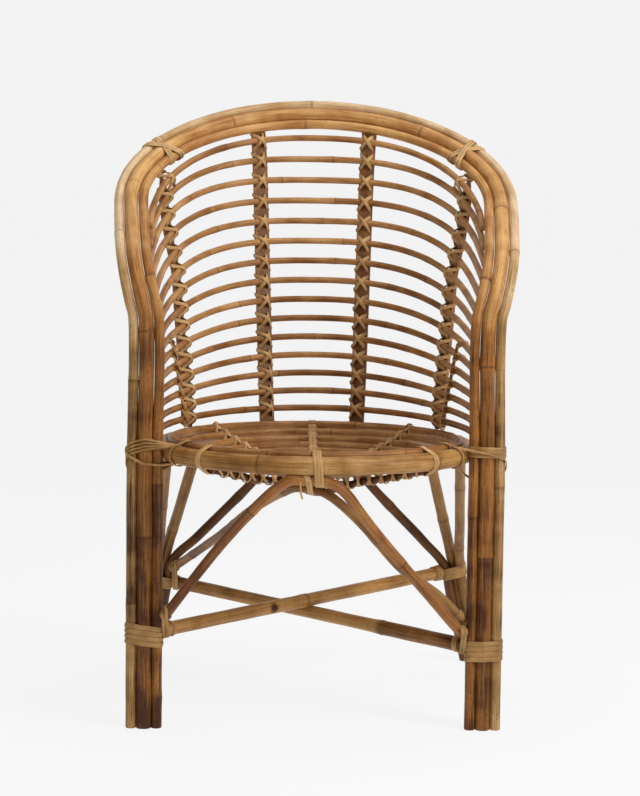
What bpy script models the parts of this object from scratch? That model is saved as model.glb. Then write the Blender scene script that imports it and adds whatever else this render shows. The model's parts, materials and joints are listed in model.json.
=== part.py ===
"""Bent-cane tub chair: three long hoops, a barrel of thin rings and a dished seat, bound with cane strip.

Metres, +Z up, the sitter faces -Y. The origin is on the floor in the middle of the chair's footprint.
Every path is first laid out from the plane of the front legs (y = 0) and then shifted to that origin.
"""
import math

import bmesh
import bpy
from mathutils import Vector

COLLECTION = "bent_cane_tub_chair"
GAP = 0.0003                     # clearance between pieces that touch

# Seat
SEAT_Z = 0.3712                  # centre of the seat rail
SEAT_R = 0.210
SEAT_BACK = 0.0878               # seat's centre, behind the plane of the front legs
RAIL_R = 0.0121
RAIL_SIDES = 48
RIM_R = 0.0060                   # the first seat ring, which lies on the inside of the rail's top
RIM_LEAN = math.radians(40)      # how steeply it leans on the rail
DISH_RIM = 0.0028                # the dish's outermost ring, above the rail's centre
DISH_DEPTH = 0.0365
DISH_RING_COUNT = 7
SEAT_RING_R = 0.0055
DISH_RATIO = 0.8476              # radius of the dish's outermost ring, as a share of the seat's radius
SEAT_RING_RATIO = 0.0976         # and from one ring to the next
STICK_R = 0.0045
FLATS_RATIO = 0.92               # six-sided canes lie this much closer than round ones
STICK_SPREAD = math.radians(45)  # diagonal sticks, from the front-back line

# The three hoops that make front legs, arms and the top of the back
LEG_TOP = 0.557                  # height where the leg starts to bend back
BEND_RADIUS = 0.100
ARM_FLARE = 0.0297               # how much wider the hoop is than the legs, on each side
HOOP_BACK = 0.0922               # widest point of the hoop, behind the seat's centre
HOOP_TILT = math.radians(28.3)   # the top hoop rises to the back
RIBBON_LIFT = math.radians(58)   # how steeply the three poles stack at the back
MIDDLE_POLE_R = 0.0098
SIDE_POLE_R = 0.0066

# Back rings and splats
RING_COUNT = 15
RING_R = 0.0045
LOWEST_RING = 0.0348             # lowest ring, above the centre of the seat rail
LOWEST_RING_BACK = 0.008         # the same, behind the rear of the rail
LOWEST_END = 0.0298              # where the lowest ring meets the legs, above the rail
HIGHEST_END = 0.124              # where the highest ring meets the arms, above the legs' bend
HIGHEST_RING = 0.0205            # highest ring, below the inner hoop
BACK_CROWD_RATIO = 0.88          # the lowest rings lie this much closer than the average
END_CROWD_RATIO = 0.74
BARREL_SQUARE_RATIO = 1.7        # the upper rings are squarer in plan than an ellipse
SPLAT_WIDTH = 0.0215
SPLAT_THICK = 0.0050
SIDE_SPLAT_LOW = 0.0910          # side splat behind the seat's centre, at the lowest ring
SIDE_SPLAT_HIGH = 0.1640         # and at the highest
BACK_SPLAT_LOW = 0.0636          # back splat from the centre line, at the lowest ring
BACK_SPLAT_HIGH = 0.0798
STAY_R = 0.0023
STAY_LOW = 0.0255                # stay inside the inner leg pole, at the lowest ring
STAY_HIGH = 0.0065               # and at its upper end
STAY_TOP_RING = 6

# Underframe
STRETCHER_R = 0.0092
STRETCHER_Z = 0.113              # front end of the lower stretcher; the upper one lies on it
STRETCHER_RISE = 0.0195          # both rise towards the back
FRONT_ARCH_R = 0.0065
CROSS_ARCH_R = 0.0060
REAR_ARCH_R = 0.0068
LEG_POLE_A_R = 0.0078
LEG_POLE_C_R = 0.0072
REAR_OUT = 0.0125                # rear leg at its lashing, outside the seat rail's side
REAR_BEHIND = 0.1022             # and behind its rear
REAR_Z = 0.140
LASH_RUN = 0.025                 # the rear poles lie straight this far each way from their lashing
REAR_LEAN = Vector((-0.19, -0.40, 1.0))      # right rear leg's poles where they are lashed, upwards
REAR_SPLAY = Vector((0.233, 0.375, -1.0))    # and below the lashing, downwards
POLE_A_TOP = math.radians(128)   # where the poles reach the rail, from the front of the seat
POLE_C_TOP = math.radians(103)

# Cane strip
STRIP_R = 0.0022                 # lashings
STRIP_STEP = 0.0052              # from one turn to the next
BINDING_R = 0.0012               # bindings on the splats
TOP_LASH_STATION = 15            # hoop station where the top lashing sits
FRONT_TURN = math.radians(35)    # half of the bend of a binding over a ring
TURN_STEP = 40                   # degrees between the points of a turn, round one pole

CANE = (0.42, 0.24, 0.10)
CANE_DARK = (0.27, 0.14, 0.06)
CANE_RED = (0.30, 0.13, 0.055)
STRIP = (0.60, 0.42, 0.21)

POLE_STEP = MIDDLE_POLE_R + SIDE_POLE_R + GAP * 2
STRIP_SEAT = STRIP_R * 2 + GAP * 4           # room that a lashing takes on a pole
SEAT_Y = SEAT_BACK
INNER_X = math.sqrt((SEAT_R + RAIL_R + SIDE_POLE_R + GAP) ** 2 - SEAT_BACK ** 2)    # just outside the rail
LEG_X = INNER_X + POLE_STEP
HOOP_RADIUS = LEG_X + ARM_FLARE
HOOP_SIDE_Y = SEAT_Y + HOOP_BACK
UPPER_STRETCHER_Z = STRETCHER_Z + STRETCHER_R * 2 + GAP
REAR_X = SEAT_R + REAR_OUT
REAR_Y = SEAT_Y + SEAT_R + REAR_BEHIND
REAR_FOOT_Y = REAR_Y - REAR_SPLAY.y / REAR_SPLAY.z * REAR_Z
FRONT_REACH = SEAT_Y - SEAT_R - RAIL_R - STRIP_SEAT
BACK_REACH = REAR_FOOT_Y + LEG_POLE_A_R * 2.6    # the rearmost pole lies behind the other two
ORIGIN = Vector((0.0, -(FRONT_REACH + BACK_REACH) / 2, 0.0))
SIDE_SPLAT = ("behind", SIDE_SPLAT_LOW, SIDE_SPLAT_HIGH)
BACK_SPLAT = ("aside", BACK_SPLAT_LOW, BACK_SPLAT_HIGH)


def clear_scene():
    for obj in list(bpy.data.objects):
        bpy.data.objects.remove(obj, do_unlink=True)


def finish(obj, colour, roughness):
    material = bpy.data.materials.new(obj.name + "_finish")
    material.use_nodes = True
    shader = material.node_tree.nodes["Principled BSDF"]
    shader.inputs["Base Color"].default_value = (*colour, 1.0)
    shader.inputs["Roughness"].default_value = roughness
    obj.data.materials.append(material)
    bpy.data.collections[COLLECTION].objects.link(obj)
    return obj


def tube(name, path, radius, colour, sides=8, closed=False, roughness=0.5):
    """One cane: a tube along the path, with filled ends unless it is closed."""
    curve = bpy.data.curves.new(name, "CURVE")
    curve.dimensions = "3D"
    curve.bevel_depth = radius
    curve.bevel_resolution = sides // 2 - 2
    curve.use_fill_caps = True
    spline = curve.splines.new("POLY")
    spline.points.add(len(path) - 1)
    for point, spot in zip(spline.points, path):
        point.co = (*(spot + ORIGIN), 1.0)
    spline.use_cyclic_u = closed
    spline.use_smooth = True
    return finish(bpy.data.objects.new(name, curve), colour, roughness)


def cut_feet(obj):
    """Saw a leaning pole flat at the floor."""
    depsgraph = bpy.context.evaluated_depsgraph_get()
    mesh = bpy.data.meshes.new_from_object(obj.evaluated_get(depsgraph))
    shape = bmesh.new()
    shape.from_mesh(mesh)
    bmesh.ops.remove_doubles(shape, verts=shape.verts, dist=0.00001)
    everything = shape.verts[:] + shape.edges[:] + shape.faces[:]
    cut = bmesh.ops.bisect_plane(
        shape, geom=everything, dist=0.000001,
        plane_co=(0, 0, 0), plane_no=(0, 0, 1), clear_inner=True)
    rim = [item for item in cut["geom_cut"] if isinstance(item, bmesh.types.BMEdge)]
    bmesh.ops.holes_fill(shape, edges=rim)
    bmesh.ops.recalc_face_normals(shape, faces=shape.faces)
    shape.to_mesh(mesh)
    shape.free()
    solid = bpy.data.objects.new(obj.name + "_cut", mesh)
    name = obj.name
    bpy.data.objects.remove(obj, do_unlink=True)
    solid.name = name
    bpy.data.collections[COLLECTION].objects.link(solid)
    return solid


def mix(start, end, share):
    return start + (end - start) * share


def smooth_path(corners, per_span):
    """Catmull-Rom curve through the corners."""
    ends = [corners[0] * 2 - corners[1]] + list(corners) + [corners[-1] * 2 - corners[-2]]
    path = []
    for a, b, c, d in zip(ends, ends[1:], ends[2:], ends[3:]):
        for step in range(per_span):
            t = step / per_span
            path.append(0.5 * (b * 2 + (c - a) * t + (a * 2 - b * 5 + c * 4 - d) * t ** 2
                               + (b * 3 - a - c * 3 + d) * t ** 3))
    path.append(corners[-1].copy())
    return path


def mirrored(path):
    return [Vector((-spot.x, spot.y, spot.z)) for spot in path]


def direction_at(path, index):
    before = path[max(index - 1, 0)]
    after = path[min(index + 1, len(path) - 1)]
    return (after - before).normalized()


def at_height(path, height):
    """Point and direction of a rising path at one height."""
    for low, high in zip(path, path[1:]):
        if high.z >= height:
            share = (height - low.z) / (high.z - low.z)
            return mix(low, high, share), (high - low).normalized()
    return path[-1].copy(), (path[-1] - path[-2]).normalized()


def distance_to_path(spot, path):
    least = math.inf
    for start, end in zip(path, path[1:]):
        run = end - start
        share = min(max((spot - start).dot(run) / run.length_squared, 0.0), 1.0)
        least = min(least, (spot - start - run * share).length)
    return least


def settle(clear, touching, gap_at):
    """The value between clear and touching where gap_at falls to GAP."""
    for _ in range(40):
        middle = (clear + touching) / 2
        if gap_at(middle) > GAP:
            clear = middle
        else:
            touching = middle
    return clear


def right_half_of_hoop():
    """Middle pole, right foot to the top of the back, with the direction that the three poles spread in."""
    turn = math.pi / 2 - HOOP_TILT
    side_z = (LEG_TOP + BEND_RADIUS * math.sin(turn)
              + (HOOP_SIDE_Y - BEND_RADIUS * (1 - math.cos(turn))) * math.tan(HOOP_TILT))
    profile = [(0.0, LEG_TOP * part / 3) for part in range(4)]
    for step in range(1, 7):
        angle = turn * step / 6
        profile.append((BEND_RADIUS * (1 - math.cos(angle)), LEG_TOP + BEND_RADIUS * math.sin(angle)))
    bend_y, bend_z = profile[-1]
    for share in (1 / 3, 2 / 3):
        profile.append((mix(bend_y, HOOP_SIDE_Y, share), mix(bend_z, side_z, share)))
    path, spread = [], []
    for y, z in profile:
        rise = max(z - LEG_TOP, 0.0) / (side_z - LEG_TOP)
        path.append(Vector((mix(LEG_X, HOOP_RADIUS, 1.3 * rise - 0.3 * rise ** 3), y, z)))
        spread.append(Vector((1, 0, 0)))
    stack = Vector((0, math.cos(RIBBON_LIFT), math.sin(RIBBON_LIFT)))
    slope = Vector((0, math.cos(HOOP_TILT), math.sin(HOOP_TILT)))
    side = Vector((0, HOOP_SIDE_Y, side_z))
    for step in range(11):
        angle = math.pi / 2 * step / 10
        across = Vector((math.cos(angle), 0, 0))
        path.append(side + across * HOOP_RADIUS + slope * (HOOP_RADIUS * math.sin(angle)))
        spread.append((across + stack * math.sin(angle)).normalized())
    return path, spread


HOOP_PATH, HOOP_SPREAD = right_half_of_hoop()


def pole_path(offset):
    """Right half of the pole that lies this far outside the middle one."""
    path = []
    for index, spot in enumerate(HOOP_PATH):
        along = direction_at(HOOP_PATH, index)
        if index == len(HOOP_PATH) - 1:
            along = Vector((1, 0, 0))
        out = HOOP_SPREAD[index]
        path.append(spot + (out - along * out.dot(along)).normalized() * offset)
    return path


INNER_POLE = pole_path(-POLE_STEP)


def build_hoops():
    for name, offset, radius in (("hoop_outer", POLE_STEP, SIDE_POLE_R),
                                 ("hoop_middle", 0.0, MIDDLE_POLE_R),
                                 ("hoop_inner", -POLE_STEP, SIDE_POLE_R)):
        right = pole_path(offset)
        tube(name, right + mirrored(right[:-1])[::-1], radius, CANE)


def crowded(share, crowd):
    """Even steps with share, drawn together at the low end."""
    return share * (crowd + (1 - crowd) * share)


def ring_back(level):
    """Depth and height of a ring at the middle of the back."""
    share = level / (RING_COUNT - 1)
    top = INNER_POLE[-1]
    low_y = SEAT_Y + SEAT_R + LOWEST_RING_BACK
    low_z = SEAT_Z + LOWEST_RING
    return (mix(low_y, top.y - LOWEST_RING_BACK, share),
            mix(low_z, top.z - HIGHEST_RING, crowded(share, BACK_CROWD_RATIO)))


def butt(spot, way, pole_r, toward, own_r):
    """End of a cane that comes from toward and stops square against a pole."""
    reach = toward - spot
    behind = (reach - way * reach.dot(way)).normalized()
    square = min(behind.dot(reach.normalized()), 1.0)
    return spot + behind * (pole_r + GAP * 2 + own_r * math.sqrt(1 - square ** 2))


def ring_end(level):
    """Where a ring butts against the back of the inner pole, on the right."""
    share = level / (RING_COUNT - 1)
    height = mix(SEAT_Z + LOWEST_END, LEG_TOP + HIGHEST_END, crowded(share, END_CROWD_RATIO))
    spot, way = at_height(INNER_POLE, height)
    back_y, back_z = ring_back(level)
    toward = Vector((spot.x, back_y, back_z))
    return butt(spot, way, SIDE_POLE_R, toward, RING_R)


def squareness(level):
    """Power of a ring's shape in plan: 2 is an ellipse. The squarest rings are just under the arms."""
    share = max(level, 0.0) / (RING_COUNT - 1)
    return 2 + BARREL_SQUARE_RATIO * share ** 1.5 * (1 - 0.8 * share ** 6)


def barrel(level, angle):
    """Centre of a ring: angle 0 is its right end, a half turn its left one."""
    end = ring_end(level)
    back_y, back_z = ring_back(level)
    power = squareness(level)
    share = max(1 - abs(math.cos(angle)) ** power, 0.0) ** (1 / power)
    rise = share ** (2 - max(level, 0.0) / (RING_COUNT - 1))
    return Vector((end.x * math.cos(angle), mix(end.y, back_y, share), mix(end.z, back_z, rise)))


def splat_angle(reach, level):
    """Where a splat crosses a ring; it is laid out by its depth or by its distance from the centre line."""
    kind, low, high = reach
    place = mix(low, high, level / (RING_COUNT - 1))
    end = ring_end(level)
    if kind == "aside":
        return math.acos(place / end.x)
    share = (SEAT_Y + place - end.y) / (ring_back(level)[0] - end.y)
    power = squareness(level)
    return math.acos((1 - share ** power) ** (1 / power))


def stay_angle(level):
    x = INNER_X - mix(STAY_LOW, STAY_HIGH, min(level / STAY_TOP_RING, 1.0))
    return math.acos(x / ring_end(level).x)


def build_back_rings():
    for level in range(RING_COUNT):
        side = splat_angle(SIDE_SPLAT, level)
        back = splat_angle(BACK_SPLAT, level)
        stay = stay_angle(level) if level <= STAY_TOP_RING else side / 2
        angles = [0.0, stay / 2, stay, (stay + side) / 2]
        angles += [mix(side, back, part / 4) for part in range(4)]
        angles += [mix(back, math.pi / 2, part / 2) for part in range(3)]
        half = [barrel(level, angle) for angle in angles]
        number = RING_COUNT - level
        tube(f"back_ring_{number:02d}", half + mirrored(half[:-1])[::-1], RING_R, CANE, sides=6)


def splat_frame(reach, level):
    """Ring crossing on the right, with the splat's outward and width directions and the ring's own."""
    angle = splat_angle(reach, level)
    spot = barrel(level, angle)
    around = (barrel(level, angle - 0.01) - barrel(level, angle + 0.01)).normalized()
    along = (barrel(level + 0.6, splat_angle(reach, level + 0.6))
             - barrel(level - 0.6, splat_angle(reach, level - 0.6))).normalized()
    out = around.cross(along).normalized()
    if out.dot(spot - on_seat(0.0, 0.0, spot.z)) < 0:
        out = -out
    return spot, out, along.cross(out).normalized(), around


def splat_edge(reach, level):
    """Corners of the splat's cross-section at one level."""
    spot, out, wide, _ = splat_frame(reach, level)
    inner = spot + out * (RING_R + GAP)
    return [inner + wide * (SPLAT_WIDTH / 2 * side) + out * (SPLAT_THICK * layer)
            for side in (-1, 0, 1) for layer in (0, 1)]


def gap_to_rail(spot):
    """Clear distance to the rail and the rim ring on it."""
    around = math.hypot(spot.x, spot.y - SEAT_Y)
    rim = rim_at(0.0)[0]
    return min(math.hypot(around - SEAT_R, spot.z - SEAT_Z) - RAIL_R,
               math.hypot(around - (SEAT_Y - rim.y), spot.z - rim.z) - RIM_R)


def splat_ends(reach, room):
    """Lowest and highest level: the splat stands on the rail and stops short of the hoops by room."""
    def above_rail(level):
        return min(gap_to_rail(spot) for spot in splat_edge(reach, level))

    def below_hoops(level):
        return min(min(distance_to_path(spot, INNER_POLE) - SIDE_POLE_R,
                       distance_to_path(spot, HOOP_PATH) - MIDDLE_POLE_R)
                   for spot in splat_edge(reach, level)) - room

    return settle(0.0, -1.5, above_rail), settle(RING_COUNT - 1, RING_COUNT + 0.5, below_hoops)


def build_splat(name, reach, room, side):
    low, high = splat_ends(reach, room)
    levels = [low] + list(range(1, RING_COUNT)) + [high]
    shape = bmesh.new()
    bmesh.ops.create_grid(shape, x_segments=1, y_segments=len(levels) - 1, size=1.0)
    for vert in shape.verts:
        level = levels[round((vert.co.y + 1) / 2 * (len(levels) - 1))]
        spot, out, wide, _ = splat_frame(reach, level)
        spot = spot + out * (RING_R + GAP + SPLAT_THICK / 2) + wide * (vert.co.x * SPLAT_WIDTH / 2)
        vert.co = Vector((spot.x * side, spot.y, spot.z)) + ORIGIN
    mesh = bpy.data.meshes.new(name)
    shape.to_mesh(mesh)
    shape.free()
    obj = finish(bpy.data.objects.new(name, mesh), CANE_DARK, 0.6)
    wall = obj.modifiers.new("thickness", "SOLIDIFY")
    wall.thickness = SPLAT_THICK
    wall.offset = 0.0


def build_binding(name, reach, side):
    """Cane strip wound up a splat: over the front of every ring, round behind the splat between rings."""
    half = SPLAT_WIDTH / 2 + BINDING_R + GAP * 2
    back = RING_R + GAP * 4 + SPLAT_THICK + BINDING_R
    front = (RING_R + BINDING_R + GAP * 2) / math.cos(FRONT_TURN)
    path = []

    def add(level, across, up, depth):
        lower = splat_frame(reach, math.floor(level))
        upper = splat_frame(reach, math.ceil(level))
        spot = mix(lower[0], upper[0], 0.5)
        out, wide, around = [(low + high).normalized() for low, high in zip(lower[1:], upper[1:])]
        rise = around.cross(out)
        if rise.z < 0:
            rise = -rise
        point = spot + around * (across / abs(around.dot(wide))) + rise * up + out * depth
        path.append(Vector((point.x * side, point.y, point.z)))

    for level in range(1, RING_COUNT):
        add(level - 0.5, -half, 0.0, 0.0)
        add(level, -half / 4, -front * math.sin(FRONT_TURN), -front * math.cos(FRONT_TURN))
        add(level, half / 4, front * math.sin(FRONT_TURN), -front * math.cos(FRONT_TURN))
        if level < RING_COUNT - 1:
            add(level + 0.5, half, 0.0, 0.0)
            add(level + 0.5, half, 0.0, back)
            add(level + 0.5, -half, 0.0, back)
    print(name, "least gap to itself", round(own_gap(path, BINDING_R, 4) * 1000, 2), "mm")
    tube(name, path, BINDING_R, STRIP, sides=4)


def own_gap(path, radius, apart):
    """Least clear distance between turns of a winding, on points that lie a turn apart or more."""
    fine = [mix(a, b, part / 4) for a, b in zip(path, path[1:]) for part in range(4)]
    least = math.inf
    for index, spot in enumerate(fine):
        for other in fine[index + apart * 4:]:
            least = min(least, (other - spot).length)
    return least - radius * 2


def build_stay(name, side):
    """Thin stick on the inside of the lower rings, next to a leg."""
    path = []
    for level in range(STAY_TOP_RING + 1):
        angle = stay_angle(level)
        around = barrel(level, angle + 0.01) - barrel(level, angle - 0.01)
        inward = Vector((around.y, -around.x, 0)).normalized()
        if inward.x > 0:
            inward = -inward
        spot = barrel(level, angle) + inward * (RING_R + STAY_R + GAP * 2)
        path.append(Vector((spot.x * side, spot.y, spot.z)))
    tube(name, path, STAY_R, CANE_RED, sides=6)


def on_seat(radius, angle, height):
    """Point of the seat; angle 0 is the front, positive to the right."""
    return Vector((radius * math.sin(angle), SEAT_Y - radius * math.cos(angle), height))


def rim_at(angle):
    """Point, direction and radius of the rim ring, which rests on the rail."""
    apart = RAIL_R + RIM_R * FLATS_RATIO + GAP
    radius = SEAT_R - apart * math.cos(RIM_LEAN)
    spot = on_seat(radius, angle, SEAT_Z + apart * math.sin(RIM_LEAN))
    return spot, Vector((math.cos(angle), math.sin(angle), 0)), RIM_R


def rail_at(angle):
    """The same for the rail, in the middle of one of its sides."""
    spot = on_seat(SEAT_R * math.cos(math.pi / RAIL_SIDES), angle, SEAT_Z)
    return spot, Vector((math.cos(angle), math.sin(angle), 0)), RAIL_R


def dish(radius):
    """Height of the dish's rings."""
    return SEAT_Z + DISH_RIM - DISH_DEPTH * (1 - (radius / dish_radius(0)) ** 2)


def dish_radius(index):
    return SEAT_R * (DISH_RATIO - SEAT_RING_RATIO * index)


def stick_height(radius, layer):
    """Centre of a seat stick; the sticks of layers 1 and 2 duck under the others in the middle."""
    slope = math.atan(2 * DISH_DEPTH * radius / dish_radius(0) ** 2)
    below = (SEAT_RING_R + STICK_R) * FLATS_RATIO / math.cos(slope) + GAP
    fade = math.cos(min(radius / (SEAT_R / 2), 1.0) * math.pi / 2) ** 2
    return dish(radius) - below - layer * (STICK_R * 2 + GAP) * fade


def build_seat():
    corners = [math.tau * (step + 0.5) / RAIL_SIDES for step in range(RAIL_SIDES)]
    rail = [on_seat(SEAT_R, angle, SEAT_Z) for angle in corners]
    tube("seat_rail", rail, RAIL_R, CANE, closed=True)
    tube("seat_ring_1", [rim_at(angle)[0] for angle in corners], RIM_R, CANE, sides=6, closed=True)
    radii = [dish_radius(index) for index in range(DISH_RING_COUNT)]
    for index, radius in enumerate(radii):
        count = 28 - index // 2 * 4
        ring = [on_seat(radius, math.tau * step / count, dish(radius)) for step in range(count)]
        tube(f"seat_ring_{index + 2}", ring, SEAT_RING_R, CANE, sides=6, closed=True)
    reach = radii + [0.0] + [-radius for radius in reversed(radii)]
    for layer, (name, angle, bound) in enumerate((
            ("seat_stick_left", -STICK_SPREAD, stick_lashing(-STICK_SPREAD)),
            ("seat_stick_middle", 0.0, front_lashing()),
            ("seat_stick_right", STICK_SPREAD, stick_lashing(STICK_SPREAD)))):
        path = [on_seat(radius, angle, stick_height(abs(radius), layer)) for radius in reach]
        forward = (path[0] - path[1]).normalized()
        backward = (path[-1] - path[-2]).normalized()
        front = slide_in(path[0], forward, STICK_R, hull_turns(*bound), STRIP_R)
        back = slide_in(path[-1], backward, STICK_R, rail + rail[:1], RAIL_R)
        tube(name, [front] + path + [back], STICK_R, CANE_DARK, sides=6)


def leg_bundle(height):
    """Point, direction and radius of each pole of the right front leg."""
    poles = []
    for offset, radius in ((POLE_STEP, SIDE_POLE_R), (0.0, MIDDLE_POLE_R), (-POLE_STEP, SIDE_POLE_R)):
        poles.append((Vector((LEG_X + offset, 0, height)), Vector((0, 0, 1)), radius))
    return poles


def rear_bundle(height):
    """Point, direction and radius of each pole of the right rear leg where it is lashed."""
    way = REAR_LEAN.normalized()
    centre = Vector((REAR_X, REAR_Y, REAR_Z)) + way * ((height - REAR_Z) / way.z)
    across = (Vector((1, 0, 0)) - way * way.x).normalized()
    behind = way.cross(across)
    spread = REAR_ARCH_R + LEG_POLE_C_R + LEG_POLE_A_R
    reach = LEG_POLE_A_R + max(REAR_ARCH_R, LEG_POLE_C_R) + GAP * 3
    return {"arch": (centre - across * (spread / 2), way, REAR_ARCH_R),
            "a": (centre + behind * math.sqrt(reach ** 2 - (spread / 2) ** 2), way, LEG_POLE_A_R),
            "c": (centre + across * (spread / 2), way, LEG_POLE_C_R)}


def rear_foot(name):
    """Lower part of one rear pole, floor to lashing."""
    spot, way, radius = rear_bundle(REAR_Z)[name]
    low = spot - way * LASH_RUN
    foot = low + REAR_SPLAY * ((low.z + radius * 1.2) / -REAR_SPLAY.z)
    return [foot, mix(foot, low, 0.6), low, spot, spot + way * LASH_RUN]


def build_rear_legs():
    for name, top_angle, radius in (("a", POLE_A_TOP, LEG_POLE_A_R), ("c", POLE_C_TOP, LEG_POLE_C_R)):
        top = on_seat(SEAT_R, top_angle, SEAT_Z - RAIL_R - GAP - radius * 0.75)
        lower = rear_foot(name)
        right = lower + [mix(lower[-1], top, 0.5), top]
        for side, path in (("right", right), ("left", mirrored(right))):
            cut_feet(tube(f"rear_leg_{side}_{name}", path, radius, CANE))
    crown_y = SEAT_Y + SEAT_R
    crown_z = SEAT_Z - RAIL_R - REAR_ARCH_R - GAP
    lower = rear_foot("arch")
    corners = [lower[-1]]
    for aside, back, up in ((0.43, 0.62, 0.63), (0.20, 0.90, 0.93), (0.0, 1.0, 1.0)):
        depth = mix(lower[-1].y, crown_y, back)
        height = mix(lower[-1].z, crown_z, up)
        corners.append(Vector((REAR_X * aside, depth, height)))
    right = lower[:-1] + smooth_path(corners, 3)
    cut_feet(tube("rear_arch", right + mirrored(right[:-1])[::-1], REAR_ARCH_R, CANE_DARK))


def slide_in(start, way, own_r, bearing, bearing_r):
    """End of a cane that slides along way until it bears on another cane or a winding."""
    u_axis = way.orthogonal().normalized()
    v_axis = way.cross(u_axis)
    face = []
    for share in (0.0, 0.25, 0.5, 0.75, 1.0):
        for step in range(12):
            turn = math.tau * step / 12
            face.append((u_axis * math.cos(turn) + v_axis * math.sin(turn)) * (own_r * share))

    def gap_at(advance):
        return min(distance_to_path(start + way * advance + edge, bearing) for edge in face) - bearing_r

    step = own_r / 4
    reach = next(step * count for count in range(1, 80) if gap_at(step * count) <= GAP)
    return start + way * settle(reach - step, reach, gap_at)


def build_stretchers():
    """Two crossed poles, each from a front leg to the opposite rear leg, the upper one on the lower."""
    for name, height in (("stretcher_lower", STRETCHER_Z), ("stretcher_upper", UPPER_STRETCHER_Z)):
        legs = leg_bundle(height)
        rear_legs = mirror_members(rear_bundle(height + STRETCHER_RISE).values())
        front = legs[2][0]
        rear = rear_legs[0][0]
        way = (rear - front).normalized()
        clear = way * (STRETCHER_R * 6)
        ends = [slide_in(front + clear, -way, STRETCHER_R, winding_round(legs), STRIP_R),
                slide_in(rear - clear, way, STRETCHER_R, winding_round(rear_legs), STRIP_R)]
        path = [ends[0], mix(ends[0], ends[1], 0.5), ends[1]]
        tube(name, path if name == "stretcher_lower" else mirrored(path), STRETCHER_R, CANE)


def front_brace(aside, ahead, up):
    """Point in front of the legs, by shares: from the middle to a leg, from the legs to the rail's front,
    and from the upper stretcher to the front arch's crown."""
    low = UPPER_STRETCHER_Z + STRETCHER_R + FRONT_ARCH_R * 1.5
    crown_z = SEAT_Z - RAIL_R - FRONT_ARCH_R - GAP
    return Vector((INNER_X * aside, (SEAT_Y - SEAT_R) * ahead, mix(low, crown_z, up)))


def leg_end(side, height, toward, own_r):
    """End of a cane against the inner pole of a front leg."""
    return butt(Vector((INNER_X * side, 0, height)), Vector((0, 0, 1)), SIDE_POLE_R, toward, own_r)


def front_arch_path():
    """The front arch from left to right; its crown lies left of the middle."""
    corners = [front_brace(*shares) for shares in (
        (-0.643, 0.52, 0.471), (-0.41, 0.86, 0.78), (-0.205, 1.0, 0.984), (-0.076, 1.0, 1.0),
        (0.065, 1.0, 0.987), (0.169, 0.98, 0.919), (0.291, 0.82, 0.742), (0.543, 0.445, 0.404))]
    left_z = front_brace(0.0, 0.0, 0.0).z
    right_z = STRETCHER_Z + STRETCHER_R + FRONT_ARCH_R * 1.3
    left = leg_end(-1, left_z, corners[0], FRONT_ARCH_R)
    right = leg_end(1, right_z, corners[-1], FRONT_ARCH_R)
    return smooth_path([left] + corners + [right], 3)


def build_arches():
    """Front arch under the rail, and the diagonal one from the rear left leg that passes close behind it."""
    tube("front_arch", front_arch_path(), FRONT_ARCH_R, CANE_RED)
    corners = []
    for aside, behind, up in ((-0.625, 0.425, 0.419), (-0.412, 0.15, 0.678)):
        spot = front_brace(aside, 0.0, up)
        corners.append(Vector((spot.x, REAR_Y * behind, spot.z)))
    corners += [front_brace(*shares) for shares in (
        (-0.188, 0.49, 0.896), (-0.074, 0.82, 0.937), (0.069, 0.82, 0.893),
        (0.272, 0.573, 0.693), (0.537, 0.245, 0.3665), (0.78, -0.03, 0.165))]
    front_z = STRETCHER_Z + STRETCHER_R + FRONT_ARCH_R * 2.3 + CROSS_ARCH_R * 2
    front = leg_end(1, front_z, corners[-1], CROSS_ARCH_R)
    rear_z = STRETCHER_Z + STRETCHER_RISE + STRETCHER_R + CROSS_ARCH_R * 3
    spot, way, radius = mirror_members([rear_bundle(rear_z)["arch"]])[0]
    rear = butt(spot, way, radius, corners[0], CROSS_ARCH_R)
    tube("cross_arch", smooth_path([rear] + corners + [front], 3), CROSS_ARCH_R, CANE_DARK)


def hull_turns(members, centre, normal, turns):
    """Points of a winding that lies round a group of poles, in planes square to normal."""
    normal = normal.normalized()
    u_axis = normal.orthogonal().normalized()
    v_axis = normal.cross(u_axis)
    parallel = all(abs(way.dot(normal)) > 0.99 for _, way, _ in members)

    def ovals(lift):
        """How the plane at one lift cuts each pole: middle and half-axes of the room that the strip needs."""
        for spot, way, pole_r in members:
            slant = way.dot(normal)
            hit = spot + way * (((centre - spot).dot(normal) + lift) / slant) - centre - normal * lift
            minor = u_axis if parallel else way.cross(normal).normalized()
            reach = pole_r + STRIP_R + GAP * 2
            yield hit, minor * reach, normal.cross(minor) * (reach / abs(slant))

    def facing(degrees):
        return u_axis * math.cos(math.radians(degrees)) + v_axis * math.sin(math.radians(degrees))

    def bearing(degrees, lift):
        """How far out the strip lies in one direction, and which pole it bears on there."""
        look = facing(degrees)
        return max((hit.dot(look) + math.hypot(minor.dot(look), major.dot(look)), index)
                   for index, (hit, minor, major) in enumerate(ovals(lift)))

    def marks_at(lift):
        """Directions that the strip is pinned in: every TURN_STEP, and where it goes from pole to pole."""
        poles = [bearing(degrees, lift)[1] for degrees in range(361)]
        marks = [0]
        for degrees in range(1, 360):
            changes = poles[degrees - 1] != poles[degrees] or poles[degrees] != poles[degrees + 1]
            if changes or degrees - marks[-1] >= TURN_STEP:
                marks.append(degrees)
        return marks + [360]

    path = []
    for turn in range(turns):
        marks = marks_at((turn + 0.5 - turns / 2) * STRIP_STEP)
        for here, there in zip(marks, marks[1:]):
            if there - here == 1 and parallel:
                continue
            lift = (turn + here / 360 - turns / 2) * STRIP_STEP
            near, far = bearing(here, lift)[0], bearing(there, lift)[0]
            bend = math.radians(there - here)
            look = facing(here)
            beside = (far - near * math.cos(bend)) / math.sin(bend)
            path.append(centre + look * near + normal.cross(look) * beside + normal * lift)
    return path


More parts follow.
